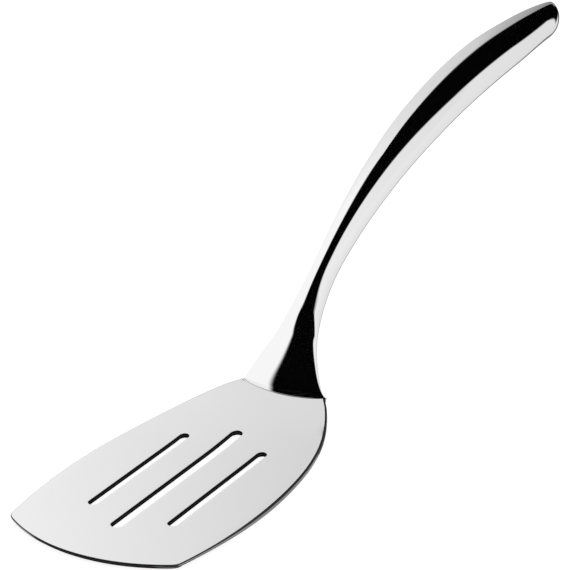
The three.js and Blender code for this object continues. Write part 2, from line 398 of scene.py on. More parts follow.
@dataclass(frozen=True)
class PolishedSteel:
    """A bright steel finish: its tint, how sharp its mirror is and how deep its hairlines are."""

    name: str
    tint: tuple[float, float, float] = (0.93, 0.93, 0.935)
    sharpest: float = 0.025
    dullest: float = 0.05
    hairlines: float = 900.0
    haze: float = 60.0
    relief: float = 0.004
    relief_depth: float = 0.0002
    # Name of an attribute of painted reflection and shade that multiplies the colour, and where along it the
    # steel turns from black non-metal to metal.
    painted_reflection: str = ""
    painted_shade_metal_ramp: tuple[float, float] = (0.02, 0.3)

    def make(self, marks: BuffingMarks) -> bpy.types.Material:
        """Builds the finish.

        Args:
            marks: the shared buffing marks.

        Returns:
            The material.
        """
        made = bpy.data.materials.new(self.name)
        wire = Wiring.fresh(made)
        group = wire.add("ShaderNodeGroup", node_tree=marks.tree)
        sizes = {"Hairlines": self.hairlines, "Haze": self.haze, "Least": self.sharpest, "Most": self.dullest}
        wire.named(group, {**sizes, "Tint": (*self.tint, 1.0)})
        steel = wire.named(wire.add("ShaderNodeBsdfPrincipled"), {"Metallic": 1.0})
        colour = group.outputs["Color"]
        # Painted reflection and shade: the named attribute scales the colour, and where it is low the steel
        # turns non-metal so the painted dark stays black.
        if self.painted_reflection:
            painted_reflection = wire.add("ShaderNodeAttribute", attribute_name=self.painted_reflection).outputs["Fac"]
            colour = wire.scaled(colour, painted_reflection)
            metal = wire.out("ShaderNodeMapRange", painted_reflection, *self.painted_shade_metal_ramp, 0.0, 1.0)
            wire.named(steel, {"Metallic": metal, "Specular IOR Level": 0.0})
        bump = wire.add("ShaderNodeBump")
        depth = {"Strength": self.relief, "Distance": self.relief_depth}
        wire.named(bump, {**depth, "Height": group.outputs["Height"]})
        rough, normal = group.outputs["Roughness"], bump.outputs["Normal"]
        wire.named(steel, {"Base Color": colour, "Roughness": rough, "Normal": normal})
        wire.add("ShaderNodeOutputMaterial", steel.outputs["BSDF"])
        return made


@dataclass(frozen=True)
class Slot:
    """One slot in the blade, with round ends."""

    middle: float
    start: float
    length: float
    width: float

    def loop(self, end_steps: int = 14, side_steps: int = 40) -> np.ndarray:
        """Traces the slot, clockwise from above.

        Args:
            end_steps: the points on each round end.
            side_steps: the points on each side, with its ends.

        Returns:
            The loop's points, across and along.
        """
        half = self.width / 2.0
        near, far = self.start + half, self.start + self.length - half
        turn = np.linspace(0.0, math.pi, end_steps)
        rear = np.stack([self.middle - half * np.cos(turn), far + half * np.sin(turn)], 1)
        front = np.stack([self.middle + half * np.cos(turn), near - half * np.sin(turn)], 1)
        side = np.linspace(far, near, side_steps)[1:-1]
        right = np.stack([np.full_like(side, self.middle + half), side], 1)
        left = np.stack([np.full_like(side, self.middle - half), side[::-1]], 1)
        return np.concatenate([rear, right, front, left])

    def distance(self, across: np.ndarray, station: np.ndarray) -> np.ndarray:
        """Gives how far points of the blade lie outside the slot.

        Args:
            across: where across the blade.
            station: where along it.

        Returns:
            The distances, negative inside the slot.
        """
        half = self.width / 2.0
        near, far = self.start + half, self.start + self.length - half
        beyond = np.maximum(0.0, np.maximum(near - station, station - far))
        return np.hypot(across - self.middle, beyond) - half


@dataclass(frozen=True)
class Brink:
    """The rounding of a cut edge, and its painted shine from the top face down: a share of the steel's colour
    that stands in for reflection and shade.

    Each pair of sizes is for the edge before and after the stations between which it grows.
    """

    round_width: tuple[float, float]
    round_depth: tuple[float, float]
    under_width: tuple[float, float]
    under_depth: tuple[float, float]
    grows: tuple[float, float]
    shine: tuple[tuple[float, float], ...]
    # Painted shade on the shine: darker towards the rear, and much darker along the middle of the front edge,
    # from a share of the way down the edge.
    rear_painted_shade: float = 1.0
    front_painted_shade: float = 1.0
    front_middle: float = 4.0
    front_ends: tuple[float, float] = (22.0, 29.0)
    front_reach: float = 9.0
    painted_shade_from: float = 0.15
    round_steps: int = 7
    wall_steps: int = 8
    under_steps: int = 5

    def rings(self, loop: np.ndarray, thickness: float) -> list[tuple[np.ndarray, ...]]:
        """Lists the rings that run down the edge.

        Args:
            loop: the edge's points, across and along the blade.
            thickness: the sheet's thickness.

        Returns:
            For each ring, its inset, its height, the outward and upward parts of its normal and its painted
            shine, a share of the steel's colour that stands in for reflection and shade.
        """
        across, station = loop[:, 0], loop[:, 1]
        grown = smooth_step(station, *self.grows)
        sizes = (self.round_width, self.round_depth, self.under_width, self.under_depth)
        wide, deep, low_wide, low_deep = (size[0] + (size[1] - size[0]) * grown for size in sizes)
        made = []
        for turn in np.linspace(0.0, math.pi / 2.0, self.round_steps):
            out, up = math.sin(turn) / wide, math.cos(turn) / deep
            size = np.hypot(out, up)
            inset, drop = wide * (1 - math.sin(turn)), deep * (1 - math.cos(turn))
            made.append((inset, thickness - drop, out / size, up / size))
        flat = np.ones_like(wide)
        for part in np.linspace(0.0, 1.0, self.wall_steps)[1:-1]:
            made.append((0 * flat, (thickness - deep) * (1 - part) + low_deep * part, flat, 0 * flat))
        for turn in np.linspace(0.0, math.pi / 2.0, self.under_steps):
            out, down = math.cos(turn) / low_wide, math.sin(turn) / low_deep
            size = np.hypot(out, down)
            inset, rise = low_wide * (1 - math.cos(turn)), low_deep * (1 - math.sin(turn))
            made.append((inset, rise, out / size, -down / size))
        # The shine is painted reflection and shade, dimmed towards the rear and along the front edge below
        # the rounding's top.
        drops, shines = zip(*self.shine)
        parts = np.linspace(0.0, 1.0, len(made))
        painted_dimming = 1.0 - (1.0 - self.rear_painted_shade) * grown
        aside = smooth_step(np.abs(across - self.front_middle), *self.front_ends)
        aside = np.maximum(aside, station > self.front_reach)
        painted_dimming = painted_dimming * (self.front_painted_shade + (1.0 - self.front_painted_shade) * aside)
        shares = [painted_dimming if part > self.painted_shade_from else flat for part in parts]
        bright = [np.interp(part, drops, shines) * share for part, share in zip(parts, shares)]
        return [(*ring, shine) for ring, shine in zip(made, bright)]


@dataclass
class Blade:
    """The slotted sheet: flat in front, curving gently up to the neck, with rounded edges."""

    thickness: float = 1.8
    front_start: float = 0.3
    front_radius: float = 70.0
    half_width: float = 40.75
    side_radius: float = 172.0
    widest: float = 50.4
    corner_radius: float = 2.2
    skew: float = -1.9
    skew_reach: float = 38.0
    rear_skew: float = -0.35
    rear_skew_ends: tuple[float, float] = (110.0, 126.0)
    bend_start: float = 76.9
    bend: float = 0.00178
    crown_depth: float = 0.12
    crown_width: float = 4.0
    crown_most: float = 1.5
    crown_grows: tuple[float, float] = (8.0, 40.0)
    crown_fades: tuple[float, float] = (58.0, 82.0)
    twist: float = 0.018
    twist_ends: tuple[float, float] = (80.0, 122.0)
    dish: float = 0.3
    dish_width: float = 20.0
    dish_ends: tuple[float, float] = (100.0, 124.0)
    slot_dip: float = 0.05
    slot_dip_width: float = 1.8
    # Painted shade: the underside's colour is dimmed a little.
    underside_painted_shade: float = 0.9
    # The rim's shine is painted reflection and shade: a dark line at the rounding, a grey face, a dark lower
    # edge, darker towards the rear and along the front.
    rim: Brink = Brink(
        round_width=(0.45, 0.8),
        round_depth=(0.4, 0.6),
        grows=(12.0, 60.0),
        under_width=(2.4, 0.35),
        under_depth=(1.2, 0.35),
        shine=(
            (0.0, 1.0),
            (0.05, 1.0),
            (0.1, 0.03),
            (0.27, 0.03),
            (0.36, 0.42),
            (0.68, 0.48),
            (0.8, 0.12),
            (1.0, 0.2),
        ),
        rear_painted_shade=0.7,
        front_painted_shade=0.08,
    )
    # The slot walls are painted black as painted shade, with a thin painted highlight line halfway down.
    slit: Brink = Brink(
        round_width=(0.2, 0.2),
        round_depth=(0.2, 0.2),
        grows=(0.0, 1.0),
        under_width=(0.2, 0.2),
        under_depth=(0.2, 0.2),
        shine=((0.0, 1.0), (0.12, 0.3), (0.25, 0.0), (0.5, 0.0), (0.56, 0.06), (0.62, 0.0), (1.0, 0.0)),
    )
    slots: tuple[Slot, ...] = (
        Slot(-16.8, 29.6, 57.9, 3.8),
        Slot(0.0, 20.4, 76.5, 4.6),
        Slot(16.8, 29.6, 57.9, 3.8),
    )
    shoulder: tuple[tuple[float, float], ...] = (
        (84.0, 37.5),
        (90.4, 35.95),
        (98.4, 33.6),
        (106.4, 30.5),
        (114.4, 26.6),
        (121.4, 22.5),
        (125.2, 19.7),
        (127.0, 18.2),
    )
    rear_station: float = 123.9
    rear_flat: float = 9.0
    tail_leaves: tuple[float, float] = (-1.6, -0.8)
    corner_within: tuple[float, float] = (4.0, 20.0)
    corner_inset: float = 1.2
    corner_pull: float = 0.9
    # How finely the sheet is meshed
    corner_tries: int = 1600
    arc_steps: int = 60
    flank_steps: int = 130
    corner_steps: int = 16
    tail_steps: int = 24
    grid_across: tuple[float, float, float] = (-40.0, 40.1, 1.7)
    grid_along: tuple[float, float, float] = (2.0, 132.0, 1.5)
    beside: tuple[float, ...] = (0.5, 1.1, 1.9, 3.0)
    clear_of_edge: float = 0.35
    clear_of_beside: float = 0.7

    def half_at(self, station: np.ndarray) -> np.ndarray:
        """Gives the blade's half width.

        Args:
            station: where along the blade.

        Returns:
            The half widths there.
        """
        side = self.half_width - self.side_radius
        side = side + np.sqrt(np.maximum(0.0, self.side_radius**2 - (station - self.widest) ** 2))
        knots = np.array([k for k, _ in self.shoulder])
        widths = np.array([w for _, w in self.shoulder])
        drawn = through_knots(np.minimum(station, knots[-1]), knots, widths)[:, 0]
        return np.where(station < knots[0], side, drawn)

    def shift(self, station: np.ndarray) -> np.ndarray:
        """Gives how far the outline's middle lies off the slots' middle.

        Args:
            station: where along the blade.

        Returns:
            The shifts across.
        """
        rear = self.rear_skew * smooth_step(station, *self.rear_skew_ends)
        return self.skew * np.exp(-np.maximum(0.0, station) / self.skew_reach) + rear

    def top(self, across: np.ndarray, station: np.ndarray) -> np.ndarray:
        """Gives the height of the blade's top face above the underside of its flat front.

        Args:
            across: where across the blade.
            station: where along it.

        Returns:
            The heights there.
        """
        lift = self.bend * np.maximum(0.0, station - self.bend_start) ** 2
        rim = np.abs(across - self.shift(station)) - self.half_at(station)
        crown = np.clip(rim / self.crown_width + 1.0, 0.0, self.crown_most) ** 2
        along = smooth_step(station, *self.crown_grows) * (1.0 - smooth_step(station, *self.crown_fades))
        height = self.thickness + lift - self.crown_depth * crown * along
        dish = self.dish * (across / self.dish_width) ** 2
        height = height + dish * smooth_step(station, *self.dish_ends)
        height = height - self.twist * across * smooth_step(station, *self.twist_ends)
        for slot in self.slots:
            near = np.clip(1.0 - slot.distance(across, station) / self.slot_dip_width, 0.0, 1.0)
            height = height - self.slot_dip * near**2
        return height

    def chain(self, side: float) -> np.ndarray:
        """Traces half of the outline, from the front's middle to the rear's middle.

        Args:
            side: 1 for the right half and -1 for the left half.

        Returns:
            The points, across and along.
        """

        def reach(station: np.ndarray) -> np.ndarray:
            """Gives how far out this half of the outline lies."""
            return self.half_at(station) + side * self.shift(station)

        def arc_at(across: np.ndarray) -> np.ndarray:
            """Gives the front arc's station."""
            return self.front_start + self.front_radius - np.sqrt(self.front_radius**2 - across**2)

        stations = np.linspace(*self.corner_within, self.corner_tries)
        meet = stations[np.abs(arc_at(reach(stations)) - stations).argmin()]
        widest = reach(np.array([meet]))[0] - self.corner_inset * self.corner_radius
        across = np.linspace(0.0, widest, self.arc_steps)
        arc = np.stack([across, arc_at(across)], 1)
        along = np.linspace(meet + self.corner_radius, self.shoulder[-1][0], self.flank_steps)
        flank = np.stack([reach(along), along], 1)
        out = (arc[-1] - arc[-2]) / np.linalg.norm(arc[-1] - arc[-2])
        back = (flank[0] - flank[1]) / np.linalg.norm(flank[0] - flank[1])
        pull = self.corner_pull * self.corner_radius
        bend = [arc[-1], arc[-1] + out * pull, flank[0] + back * pull, flank[0]]
        corner = bezier(bend, self.corner_steps)
        end = self.rear_station
        close = [flank[-1], flank[-1] + self.tail_leaves, (self.rear_flat, end), (0.0, end)]
        tail = bezier(close, self.tail_steps)
        return np.concatenate([arc, corner[1:-1], flank, tail[1:]]) * np.array([side, 1.0])

    def outline(self) -> np.ndarray:
        """Traces the blade's outline, counter-clockwise from above.

        Returns:
            The loop's points, across and along.
        """
        return np.concatenate([self.chain(1.0), self.chain(-1.0)[-2:0:-1]])

    def mapped(self, flat: np.ndarray, height: np.ndarray) -> tuple[np.ndarray, np.ndarray]:
        """Lays points of the flat pattern on the curved sheet.

        Args:
            flat: the points, across and along.
            height: their height within the sheet.

        Returns:
            The points in millimetres, and the sheet's upward normals there.
        """
        x, s = flat[:, 0], flat[:, 1]
        z = self.top(x, s) - (self.thickness - height)
        step = 0.05
        dx = (self.top(x + step, s) - self.top(x - step, s)) / (2 * step)
        ds = (self.top(x, s + step) - self.top(x, s - step)) / (2 * step)
        up = np.stack([-dx, -ds, np.ones_like(dx)], 1)
        return np.stack([x, FRONT + s, z], 1), up / np.linalg.norm(up, axis=1)[:, None]

    def face(self, loops: list[np.ndarray], extra: np.ndarray) -> tuple[np.ndarray, list[tuple[int, ...]]]:
        """Fills the sheet between its outline and its slots with triangles.

        Args:
            loops: the outline first, then the slots, already inset.
            extra: points beside the edges, where the sheet bends most.

        Returns:
            The flat points, with the loops' points first, and the triangles.
        """
        x, s = np.meshgrid(np.arange(*self.grid_across), np.arange(*self.grid_along))
        grid = np.concatenate([extra, np.stack([x.ravel(), s.ravel()], 1)])
        keep = inside(grid, loops[0])
        for loop in loops[1:]:
            keep &= ~inside(grid, loop)
        rim = np.concatenate(loops)
        rim_gap = np.array([np.min(np.hypot(*(rim - p).T)) for p in grid])
        extra_gap = np.array([np.min(np.hypot(*(extra - p).T)) for p in grid])
        extra_gap[: len(extra)] = np.inf
        keep &= (rim_gap > self.clear_of_edge) & (extra_gap > self.clear_of_beside)
        points = np.concatenate([rim, grid[keep]])
        edges, first = [], 0
        for loop in loops:
            count = len(loop)
            edges += [(first + i, first + (i + 1) % count) for i in range(count)]
            first += count
        flat, _, faces, _, _, _ = delaunay_2d_cdt([Vector(p) for p in points], edges, [], 1, 1e-6)
        flat = np.array([tuple(p) for p in flat])
        middles = np.array([flat[list(f)].mean(axis=0) for f in faces])
        solid = inside(middles, loops[0])
        for loop in loops[1:]:
            solid &= ~inside(middles, loop)
        return flat, [tuple(f) for f, kept in zip(faces, solid) if kept]

    def build(self, steel: bpy.types.Material) -> bpy.types.Object:
        """Builds the blade as one closed mesh with exact normals.

        Args:
            steel: its finish.

        Returns:
            The blade's object.
        """
        loops = [self.outline(), *(slot.loop() for slot in self.slots)]
        brinks = [self.rim] + [self.slit] * len(self.slots)
        rings = [brink.rings(loop, self.thickness) for brink, loop in zip(brinks, loops)]
        outward = []
        for loop in loops:
            run = np.roll(loop, -1, axis=0) - np.roll(loop, 1, axis=0)
            run /= np.linalg.norm(run, axis=1)[:, None]
            outward.append(np.stack([run[:, 1], -run[:, 0]], 1))
        inset = [loop - out * ring[0][0][:, None] for loop, out, ring in zip(loops, outward, rings)]
        beside = [
            (loop - out * gap)[::2]
            for loop, out in zip(inset, outward)
            for gap in self.beside
        ]
        flat, triangles = self.face(inset, np.concatenate(beside))
        count = len(flat)
        places, normals = self.mapped(flat, np.full(count, self.thickness))
        low = flat.copy()
        first = 0
        for loop, out, ring in zip(loops, outward, rings):
            low[first : first + len(loop)] = loop - out * ring[-1][0][:, None]
            first += len(loop)
        under, low_normals = self.mapped(low, np.zeros(count))
        points, leans = [places, under], [normals, -low_normals]
        # Painted shine: the top face keeps its full colour and the underside takes painted shade.
        shine = [np.ones(count), np.full(count, self.underside_painted_shade)]
        faces = list(triangles) + [tuple(count + i for i in reversed(t)) for t in triangles]
        first, used = 0, 2 * count
        for loop, out, ring in zip(loops, outward, rings):
            size = len(loop)
            rows = [np.arange(first, first + size)]
            side = np.stack([out[:, 0], out[:, 1], np.zeros(size)], 1)
            for inset_by, height, outer, upper, bright in ring[1:-1]:
                spot, up = self.mapped(loop - out * inset_by[:, None], height)
                normal = side * outer[:, None] + up * upper[:, None]
                points.append(spot)
                leans.append(normal / np.linalg.norm(normal, axis=1)[:, None])
                shine.append(bright)
                rows.append(np.arange(used, used + size))
                used += size
            rows.append(np.arange(count + first, count + first + size))
            for upper_row, lower_row in zip(rows, rows[1:]):
                for i in range(size):
                    j = (i + 1) % size
                    faces.append((int(upper_row[i]), int(lower_row[i]), int(lower_row[j]), int(upper_row[j])))
            first += size
        mesh = bpy.data.meshes.new("blade_sheet")
        mesh.from_pydata((np.concatenate(points) * MM).tolist(), [], faces)
        mesh.materials.append(steel)
        # The painted reflection and shade is stored on the points for the finish to scale its colour by.
        mesh.attributes.new("painted_reflection", "FLOAT", "POINT").data.foreach_set("value", np.concatenate(shine))
        mesh.shade_smooth()
        mesh.normals_split_custom_set_from_vertices(np.concatenate(leans).tolist())
        return linked("blade_sheet", mesh)


@dataclass(frozen=True)
class Section:
    """One oval section of the handle, square to its arch."""

    past: float
    width: float
    thickness: float


@dataclass
class Rings:
    """The rings that the handle's skin runs through, one row each."""

    centre: np.ndarray
    front: np.ndarray
    back: np.ndarray
    half_width: np.ndarray
    peak: np.ndarray
    fill: np.ndarray

    @staticmethod
    def joined(runs: list["Rings"]) -> "Rings":
        """Joins runs of rings end to end."""
        return Rings(*(np.concatenate([getattr(run, f.name) for run in runs]) for f in fields(Rings)))


@dataclass
class Handle:
    """The hollow handle: oval rings on one long arch, flaring at the neck to a broad foot on the blade."""

    neck: tuple[float, float] = (129.4, 14.1)
    neck_angle: float = 49.2
    neck_pull: float = 107.0
    tip: tuple[float, float] = (351.1, 86.6)
    tip_angle: float = -2.6
    tip_pull: float = 9.4
    tip_fullness: float = 2.2
    tip_lift: float = 0.95
    join: float = 10.0
    join_step: float = 0.5
    foot_past: float = -11.0
    foot_half_width: float = 18.4
    foot_station: float = 127.9
    foot_front: float = 123.7
    foot_back: float = 124.6
    foot_peak: float = 1.84
    foot_fill: float = 0.543
    foot_closes: float = 0.25
    crest_sunk: float = 0.25
    keel_sunk: float = 0.1
    rim_leaves: tuple[float, float] = (-9.3, 4.0)
    crest_leaves: tuple[float, float] = (3.05, 23.75)
    keel_leaves: tuple[float, float] = (13.0, 13.0)
    foot_narrows: float = -3.63
    round_from: float = 37.3
    flattened: float = 0.401
    flat_ends: tuple[float, float] = (12.0, 21.0)
    sides: int = 144
    arch_samples: int = 3000
    neck_steps: int = 70
    arch_steps: int = 240
    tip_steps: int = 60
    sections: tuple[Section, ...] = (
        Section(0.0, 27.0, 8.6),
        Section(14.0, 16.9, 8.4),
        Section(29.0, 11.8, 8.3),
        Section(44.0, 10.7, 8.2),
        Section(88.0, 16.9, 8.8),
        Section(130.0, 22.9, 10.0),
        Section(186.0, 26.6, 12.2),
        Section(220.0, 22.0, 12.5),
    )
    tip_section: tuple[float, float] = (17.6, 13.4)

    def __post_init__(self) -> None:
        """Samples the arch once."""
        rise, drop = math.radians(self.neck_angle), math.radians(self.tip_angle)
        leave = (
            self.neck[0] + self.neck_pull * math.cos(rise),
            self.neck[1] + self.neck_pull * math.sin(rise),
        )
        reach = (
            self.tip[0] - self.tip_pull * math.cos(drop),
            self.tip[1] - self.tip_pull * math.sin(drop),
        )
        self.arch = bezier([self.neck, leave, reach, self.tip], self.arch_samples)
        runs = np.linalg.norm(np.diff(self.arch, axis=0), axis=1)
        self.run = np.concatenate([[0.0], np.cumsum(runs)])
        ahead = np.gradient(self.arch, axis=0)
        self.ahead = ahead / np.linalg.norm(ahead, axis=1)[:, None]

    @property
    def length(self) -> float:
        """The arch's length past the neck."""
        return float(self.run[-1])

    def peak_at(self, past: np.ndarray) -> np.ndarray:
        """Gives how pointed a ring's face is: 1 is a ridge, 2 a plain arc."""
        return 2.0 - (2.0 - self.foot_peak) * (1.0 - smooth_step(past, self.foot_past, 0.0))

    def fill_at(self, past: np.ndarray) -> np.ndarray:
        """Gives how sharp a ring's side edges are: 1 is a lens, 0.5 an oval."""
        return 0.5 + (self.foot_fill - 0.5) * (1.0 - smooth_step(past, self.foot_past, self.round_from))

    def upper_rings(self, past: np.ndarray) -> Rings:
        """Gives the rings on the arch, with the rounded tip.

        Args:
            past: how far past the neck each ring is.

        Returns:
            The rings.
        """
        middle = np.stack([np.interp(past, self.run, self.arch[:, i]) for i in (0, 1)], 1)
        ahead = np.stack([np.interp(past, self.run, self.ahead[:, i]) for i in (0, 1)], 1)
        knots = [s.past for s in self.sections] + [self.length]
        sizes = [(s.width, s.thickness) for s in self.sections] + [self.tip_section]
        half = through_knots(past, np.array(knots), np.array(sizes)) / 2.0
        last = self.sections[-1].past
        part = np.clip((past - last) / (self.length - last), 0.0, 1.0)
        cap = np.maximum(0.0, 1.0 - part**self.tip_fullness) ** (1.0 / self.tip_fullness)
        lift = half[:, 1] * (1.0 - cap) * self.tip_lift
        square = np.stack([-ahead[:, 1], ahead[:, 0]], 1)
        deep = square * (half[:, 1] * cap)[:, None]
        flat = 1.0 - self.flattened * (1.0 - smooth_step(past, *self.flat_ends))
        return Rings(
            centre=middle + square * lift[:, None],
            front=deep * flat[:, None],
            back=-deep,
            half_width=half[:, 0] * cap,
            peak=self.peak_at(past),
            fill=self.fill_at(past),
        )

    def neck_rings(self, blade: Blade, parts: np.ndarray) -> Rings:
        """Gives the rings that flare from the arch to the foot on the blade.

        Args:
            blade: the blade that the foot stands on.
            parts: how far up from the foot each ring is, from 0 to 1.

        Returns:
            The rings.
        """
        ends = self.upper_rings(np.array([self.join, self.join + self.join_step]))
        zero = np.zeros(1)

        def level(station: float) -> float:
            """Gives the height of the blade's top face on its middle line."""
            return float(blade.top(zero, zero + station)[0])

        rim = np.array([self.foot_station, level(self.foot_station) - blade.thickness / 2.0])
        crest = np.array([self.foot_front, level(self.foot_front) - self.crest_sunk])
        keel = np.array([self.foot_back, level(self.foot_back) - blade.thickness - self.keel_sunk])
        run = self.join - self.foot_past
        rate = run / self.join_step

        def rise(foot: np.ndarray | float, leave: tuple[float, ...] | float, arch: np.ndarray) -> np.ndarray:
            """Runs from a value at the foot to the arch's, leaving and joining with the right slopes."""
            return eased(parts[:, None], foot, np.array(leave), arch[0], (arch[1] - arch[0]) * rate)

        centre = rise(rim, self.rim_leaves, ends.centre)
        front = rise(crest, self.crest_leaves, ends.centre + ends.front)
        back = rise(keel, self.keel_leaves, ends.centre + ends.back)
        half = rise(self.foot_half_width, self.foot_narrows, ends.half_width[:, None])
        past = self.foot_past + run * parts
        return Rings(
            centre=centre,
            front=front - centre,
            back=back - centre,
            half_width=half[:, 0],
            peak=self.peak_at(past),
            fill=self.fill_at(past),
        )

    def rings(self, blade: Blade) -> Rings:
        """Gives all the skin's rings, from inside the foot to the tip.

        Args:
            blade: the blade that the foot stands on.

        Returns:
            The rings, with a closed point at each end.
        """
        neck = self.neck_rings(blade, np.linspace(0.0, 1.0, self.neck_steps)[:-1])
        last = self.sections[-1].past
        plain = np.linspace(self.join, last, self.arch_steps)[:-1]
        turned = np.sin(np.linspace(0.0, math.pi / 2.0, self.tip_steps))
        upper = self.upper_rings(np.concatenate([plain, last + (self.length - last) * turned]))
        floor = Rings(
            centre=neck.centre[:1] + (neck.front[:1] + neck.back[:1]) * self.foot_closes,
            front=neck.front[:1] * 0.0,
            back=neck.back[:1] * 0.0,
            half_width=np.zeros(1),
            peak=neck.peak[:1],
            fill=neck.fill[:1],
        )
        return Rings.joined([floor, neck, upper])

    def skin_tree(self) -> PathTree:
        """Builds the tree that lays one ring round each point of a path.

        Returns:
            The tree.
        """
        made = PathTree("Handle skin", {"Sides": "NodeSocketInt", "Material": "NodeSocketMaterial"})
        wire, given = made.wire, made.given

        def read(name: str, kind: str) -> bpy.types.NodeSocket:
            """Reads a named attribute."""
            return wire.out("GeometryNodeInputNamedAttribute", name, data_type=kind)

        def keep(shape: bpy.types.NodeSocket, name: str) -> bpy.types.NodeSocket:
            """Keeps each point's place as a named attribute."""
            spot = wire.out("GeometryNodeInputPosition")
            kind = "GeometryNodeStoreNamedAttribute"
            return wire.out(kind, shape, None, name, spot, data_type="FLOAT_VECTOR")

        path = keep(wire.out("GeometryNodeMeshToCurve", given["Path"]), "centre")
        swept = made.sweep(path, keep(made.profile(1.0), "around"), caps=False)
        turn = wire.add("ShaderNodeSeparateXYZ", read("around", "FLOAT_VECTOR")).outputs
        wide = wire.maths("MULTIPLY", turn["X"], read("half_width", "FLOAT"))
        out = wire.maths("MINIMUM", wire.maths("ABSOLUTE", turn["X"]), 1.0)
        left = wire.maths("SUBTRACT", 1.0, wire.maths("POWER", out, read("peak", "FLOAT")))
        deep = wire.maths("POWER", wire.maths("MAXIMUM", left, 0.0), read("fill", "FLOAT"))
        upper = wire.maths("GREATER_THAN", turn["Y"], 0.0)
        lower = wire.maths("SUBTRACT", 1.0, upper)
        ahead = wire.scaled(read("front", "FLOAT_VECTOR"), wire.maths("MULTIPLY", deep, upper))
        behind = wire.scaled(read("back", "FLOAT_VECTOR"), wire.maths("MULTIPLY", deep, lower))
        spot = wire.vector("ADD", read("centre", "FLOAT_VECTOR"), wire.vector("ADD", ahead, behind))
        spot = wire.vector("ADD", spot, wire.out("ShaderNodeCombineXYZ", wide))
        laid = wire.out("GeometryNodeSetPosition", swept, None, spot)
        closed = wire.named(wire.add("GeometryNodeMergeByDistance", laid), {"Distance": 1e-6})
        made.close(closed.outputs[0])
        return made

    def build(self, blade: Blade, steel: bpy.types.Material) -> bpy.types.Object:
        """Builds the handle's skin, with its seams ground flush.

        Args:
            blade: the blade that the foot stands on.
            steel: its finish.

        Returns:
            The skin's object.
        """
        rings = self.rings(blade)
        offset = np.array([0.0, FRONT, 0.0])
        blank = np.zeros((len(rings.centre), 1))
        made = polyline("handle_skin", np.concatenate([blank, rings.centre], 1) + offset)
        fields = made.data.attributes
        for name, rows in (("front", rings.front), ("back", rings.back)):
            full = np.concatenate([blank, rows], 1) * MM
            fields.new(name, "FLOAT_VECTOR", "POINT").data.foreach_set("vector", full.ravel())
        for name, row in (("half_width", rings.half_width * MM), ("peak", rings.peak), ("fill", rings.fill)):
            fields.new(name, "FLOAT", "POINT").data.foreach_set("value", row)
        self.skin_tree().bake(made, {"Sides": self.sides, "Material": steel})
        made.visible_glossy = False
        return made


@dataclass
class FootWeld:
    """The thin bead, ground down and polished, where the handle's foot meets the blade."""

    radius: float = 0.45
    sides: int = 14
    sunk: float = 0.38
    stops_short: float = 0.2
    steps: int = 90

    def tree(self) -> PathTree:
        """Builds the tree that runs a round bead along a path.

        Returns:
            The tree.
        """
        sizes = {"Sides": "NodeSocketInt", "Bead Radius": "NodeSocketFloat"}
        made = PathTree("Weld bead", {**sizes, "Material": "NodeSocketMaterial"})
        path = made.wire.out("GeometryNodeMeshToCurve", made.given["Path"])
        round_bead = made.profile(made.given["Bead Radius"])
        made.close(made.sweep(path, round_bead, caps=True))
        return made

    def path(self, handle: Handle, blade: Blade, upper: bool) -> np.ndarray:
        """Traces the line where the foot meets one face of the blade.

        Args:
            handle: the handle whose foot it is.
            blade: the blade that it stands on.
            upper: whether the line is on the top face.

        Returns:
            The line's points in millimetres.
        """
        turn = np.linspace(self.stops_short, math.pi - self.stops_short, self.steps)
        across = handle.foot_half_width * np.cos(turn)
        deep = (1.0 - np.abs(np.cos(turn)) ** handle.foot_peak) ** handle.foot_fill
        reach = (handle.foot_front if upper else handle.foot_back) - handle.foot_station
        station = handle.foot_station + reach * deep
        height = blade.top(across, station) - (self.sunk if upper else blade.thickness - self.sunk)
        return np.stack([across, FRONT + station, height], 1)

    def build(self, handle: Handle, blade: Blade, steel: bpy.types.Material) -> dict[str, bpy.types.Object]:
        """Builds both beads.

        Args:
            handle: the handle whose foot they follow.
            blade: the blade that it stands on.
            steel: their finish.

        Returns:
            The beads by the frame's node that each stands for.
        """
        tree = self.tree()
        made = {}
        for node, upper in (("foot_weld_top", True), ("foot_weld_bottom", False)):
            bead = polyline(node + "_bead", self.path(handle, blade, upper))
            tree.bake(bead, {"Sides": self.sides, "Bead Radius": self.radius * MM, "Material": steel})
            made[node] = bead
        return made


@dataclass(frozen=True)
class Side:
    """One straight edge of a light in the studio: a plane that the light lies in front of."""

    facing: tuple[float, float, float]
    offset: float
    softness: float


@dataclass(frozen=True)
class Card:
    """A far card of light that the steel mirrors, with soft straight edges and brighter along its lean."""

    name: str
    light: float
    sides: tuple[Side, ...]
    lean: tuple[float, float, float] = (0.0, 0.0, 0.0)


